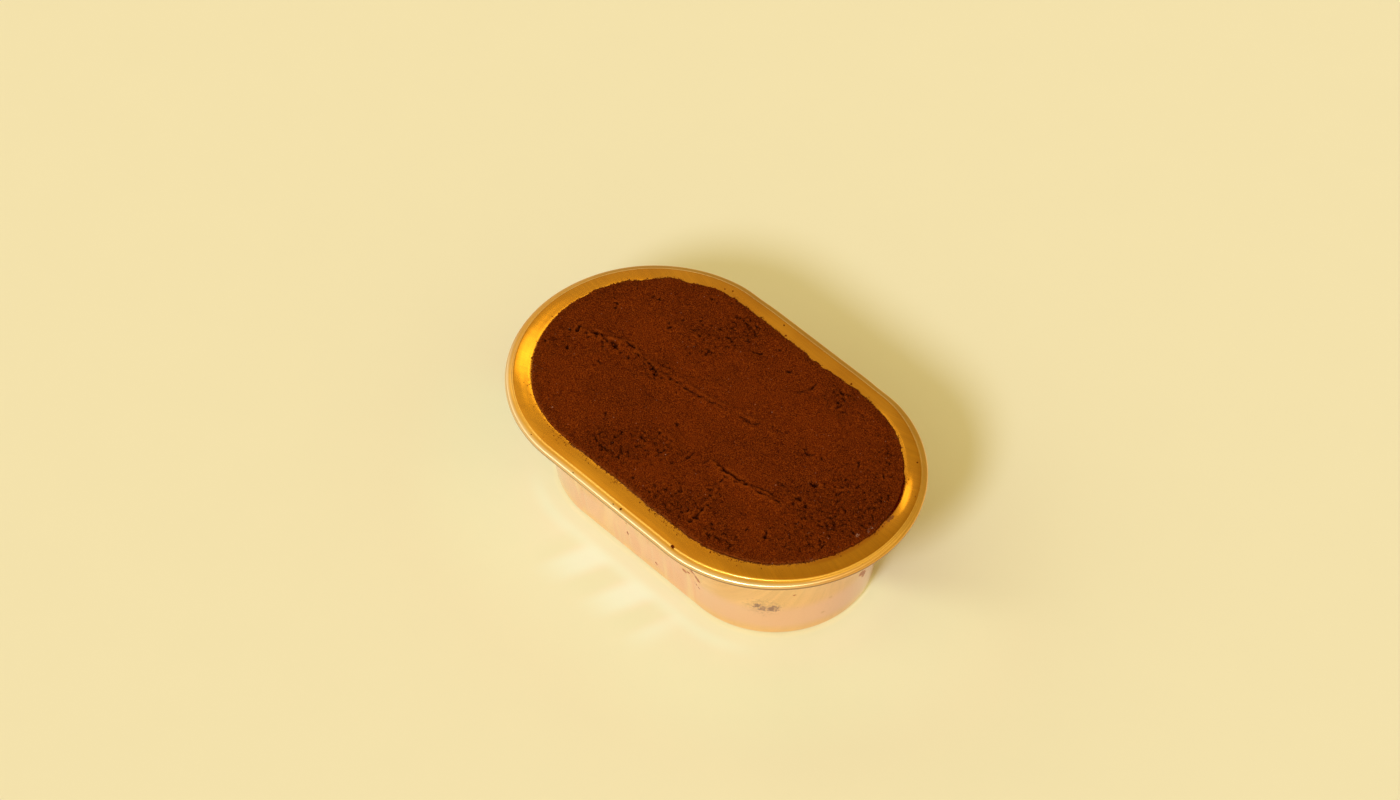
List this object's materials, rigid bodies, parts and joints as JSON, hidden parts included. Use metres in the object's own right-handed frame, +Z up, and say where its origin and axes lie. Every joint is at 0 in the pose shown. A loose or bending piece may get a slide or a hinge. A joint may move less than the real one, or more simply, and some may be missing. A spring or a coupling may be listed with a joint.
{
  "type": "tiramisu in an oval foil tray",
  "caption": "Tiramisu levelled and covered with cocoa in an oval, smooth-walled golden foil tray with a broad flange and a rolled rim.",
  "frame": {"origin": "bottom centre, under the middle of the tray's flat base", "axes": "+X along the tray's length, +Y across it, +Z up out of the tray"},
  "size_m": [0.16, 0.1016, 0.0494],
  "materials": {
    "foil": "golden lacquer over satin rolled foil",
    "cream": "soft matte cream",
    "cocoa": "dry matte powder"
  },
  "bodies": {
    "root": {"foil_tray": "foil", "cream_filling": "cream", "cocoa_layer": "cocoa"}
  },
  "joints": []
}
